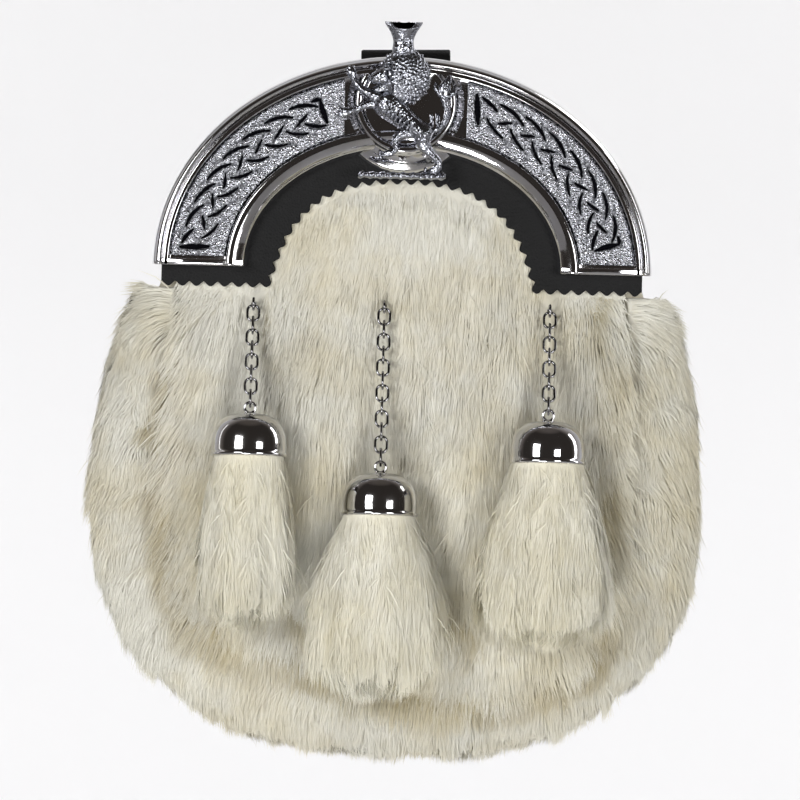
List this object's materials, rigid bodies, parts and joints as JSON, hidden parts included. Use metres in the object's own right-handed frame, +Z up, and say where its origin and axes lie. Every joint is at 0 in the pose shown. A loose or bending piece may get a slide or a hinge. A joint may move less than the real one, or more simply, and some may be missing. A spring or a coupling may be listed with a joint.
{
  "type": "full-dress sporran pouch",
  "caption": "Fur pouch under an arched chrome cantle with knotwork plaques, a heraldic badge and fur tassels on chains.",
  "frame": {"origin": "middle of the gap in the hanger loop at the back, where the waist strap carries the pouch", "axes": "+Z up along the pouch, +X to the right of a viewer who faces the fur, +Y towards the wearer, so the front faces -Y"},
  "size_m": [0.2128, 0.075, 0.248],
  "materials": {
    "chrome": "mirror-bright plated, a little hand wear",
    "silver": "antiqued silver, dark in the recesses and bright on the relief",
    "black_leather": "semi-gloss, fine grain",
    "hide": "matte skin side of rabbit fur",
    "rabbit_fur": "long soft cream-white hair"
  },
  "bodies": {
    "root": {"cantle": "chrome", "knot_plaque_left": "silver", "knot_plaque_right": "silver", "badge": "silver", "leather_facing": "black_leather", "front_wall": "hide", "gusset_wall": "hide", "back_panel": "black_leather", "fur_front": "rabbit_fur", "fur_gusset": "rabbit_fur", "hanger_loop": "black_leather", "tassel_eyelet_left": "chrome", "chain_left_1": "chrome", "chain_left_2": "chrome", "chain_left_3": "chrome", "chain_left_4": "chrome", "chain_left_5": "chrome", "chain_left_6": "chrome", "chain_left_7": "chrome", "chain_left_8": "chrome", "tassel_bell_left": "chrome", "tassel_fur_left": "rabbit_fur", "tassel_eyelet_middle": "chrome", "chain_middle_1": "chrome", "chain_middle_2": "chrome", "chain_middle_3": "chrome", "chain_middle_4": "chrome", "chain_middle_5": "chrome", "chain_middle_6": "chrome", "chain_middle_7": "chrome", "chain_middle_8": "chrome", "chain_middle_9": "chrome", "chain_middle_10": "chrome", "chain_middle_11": "chrome", "chain_middle_12": "chrome", "tassel_bell_middle": "chrome", "tassel_fur_middle": "rabbit_fur", "tassel_eyelet_right": "chrome", "chain_right_1": "chrome", "chain_right_2": "chrome", "chain_right_3": "chrome", "chain_right_4": "chrome", "chain_right_5": "chrome", "chain_right_6": "chrome", "chain_right_7": "chrome", "chain_right_8": "chrome", "tassel_bell_right": "chrome", "tassel_fur_right": "rabbit_fur"}
  },
  "joints": []
}
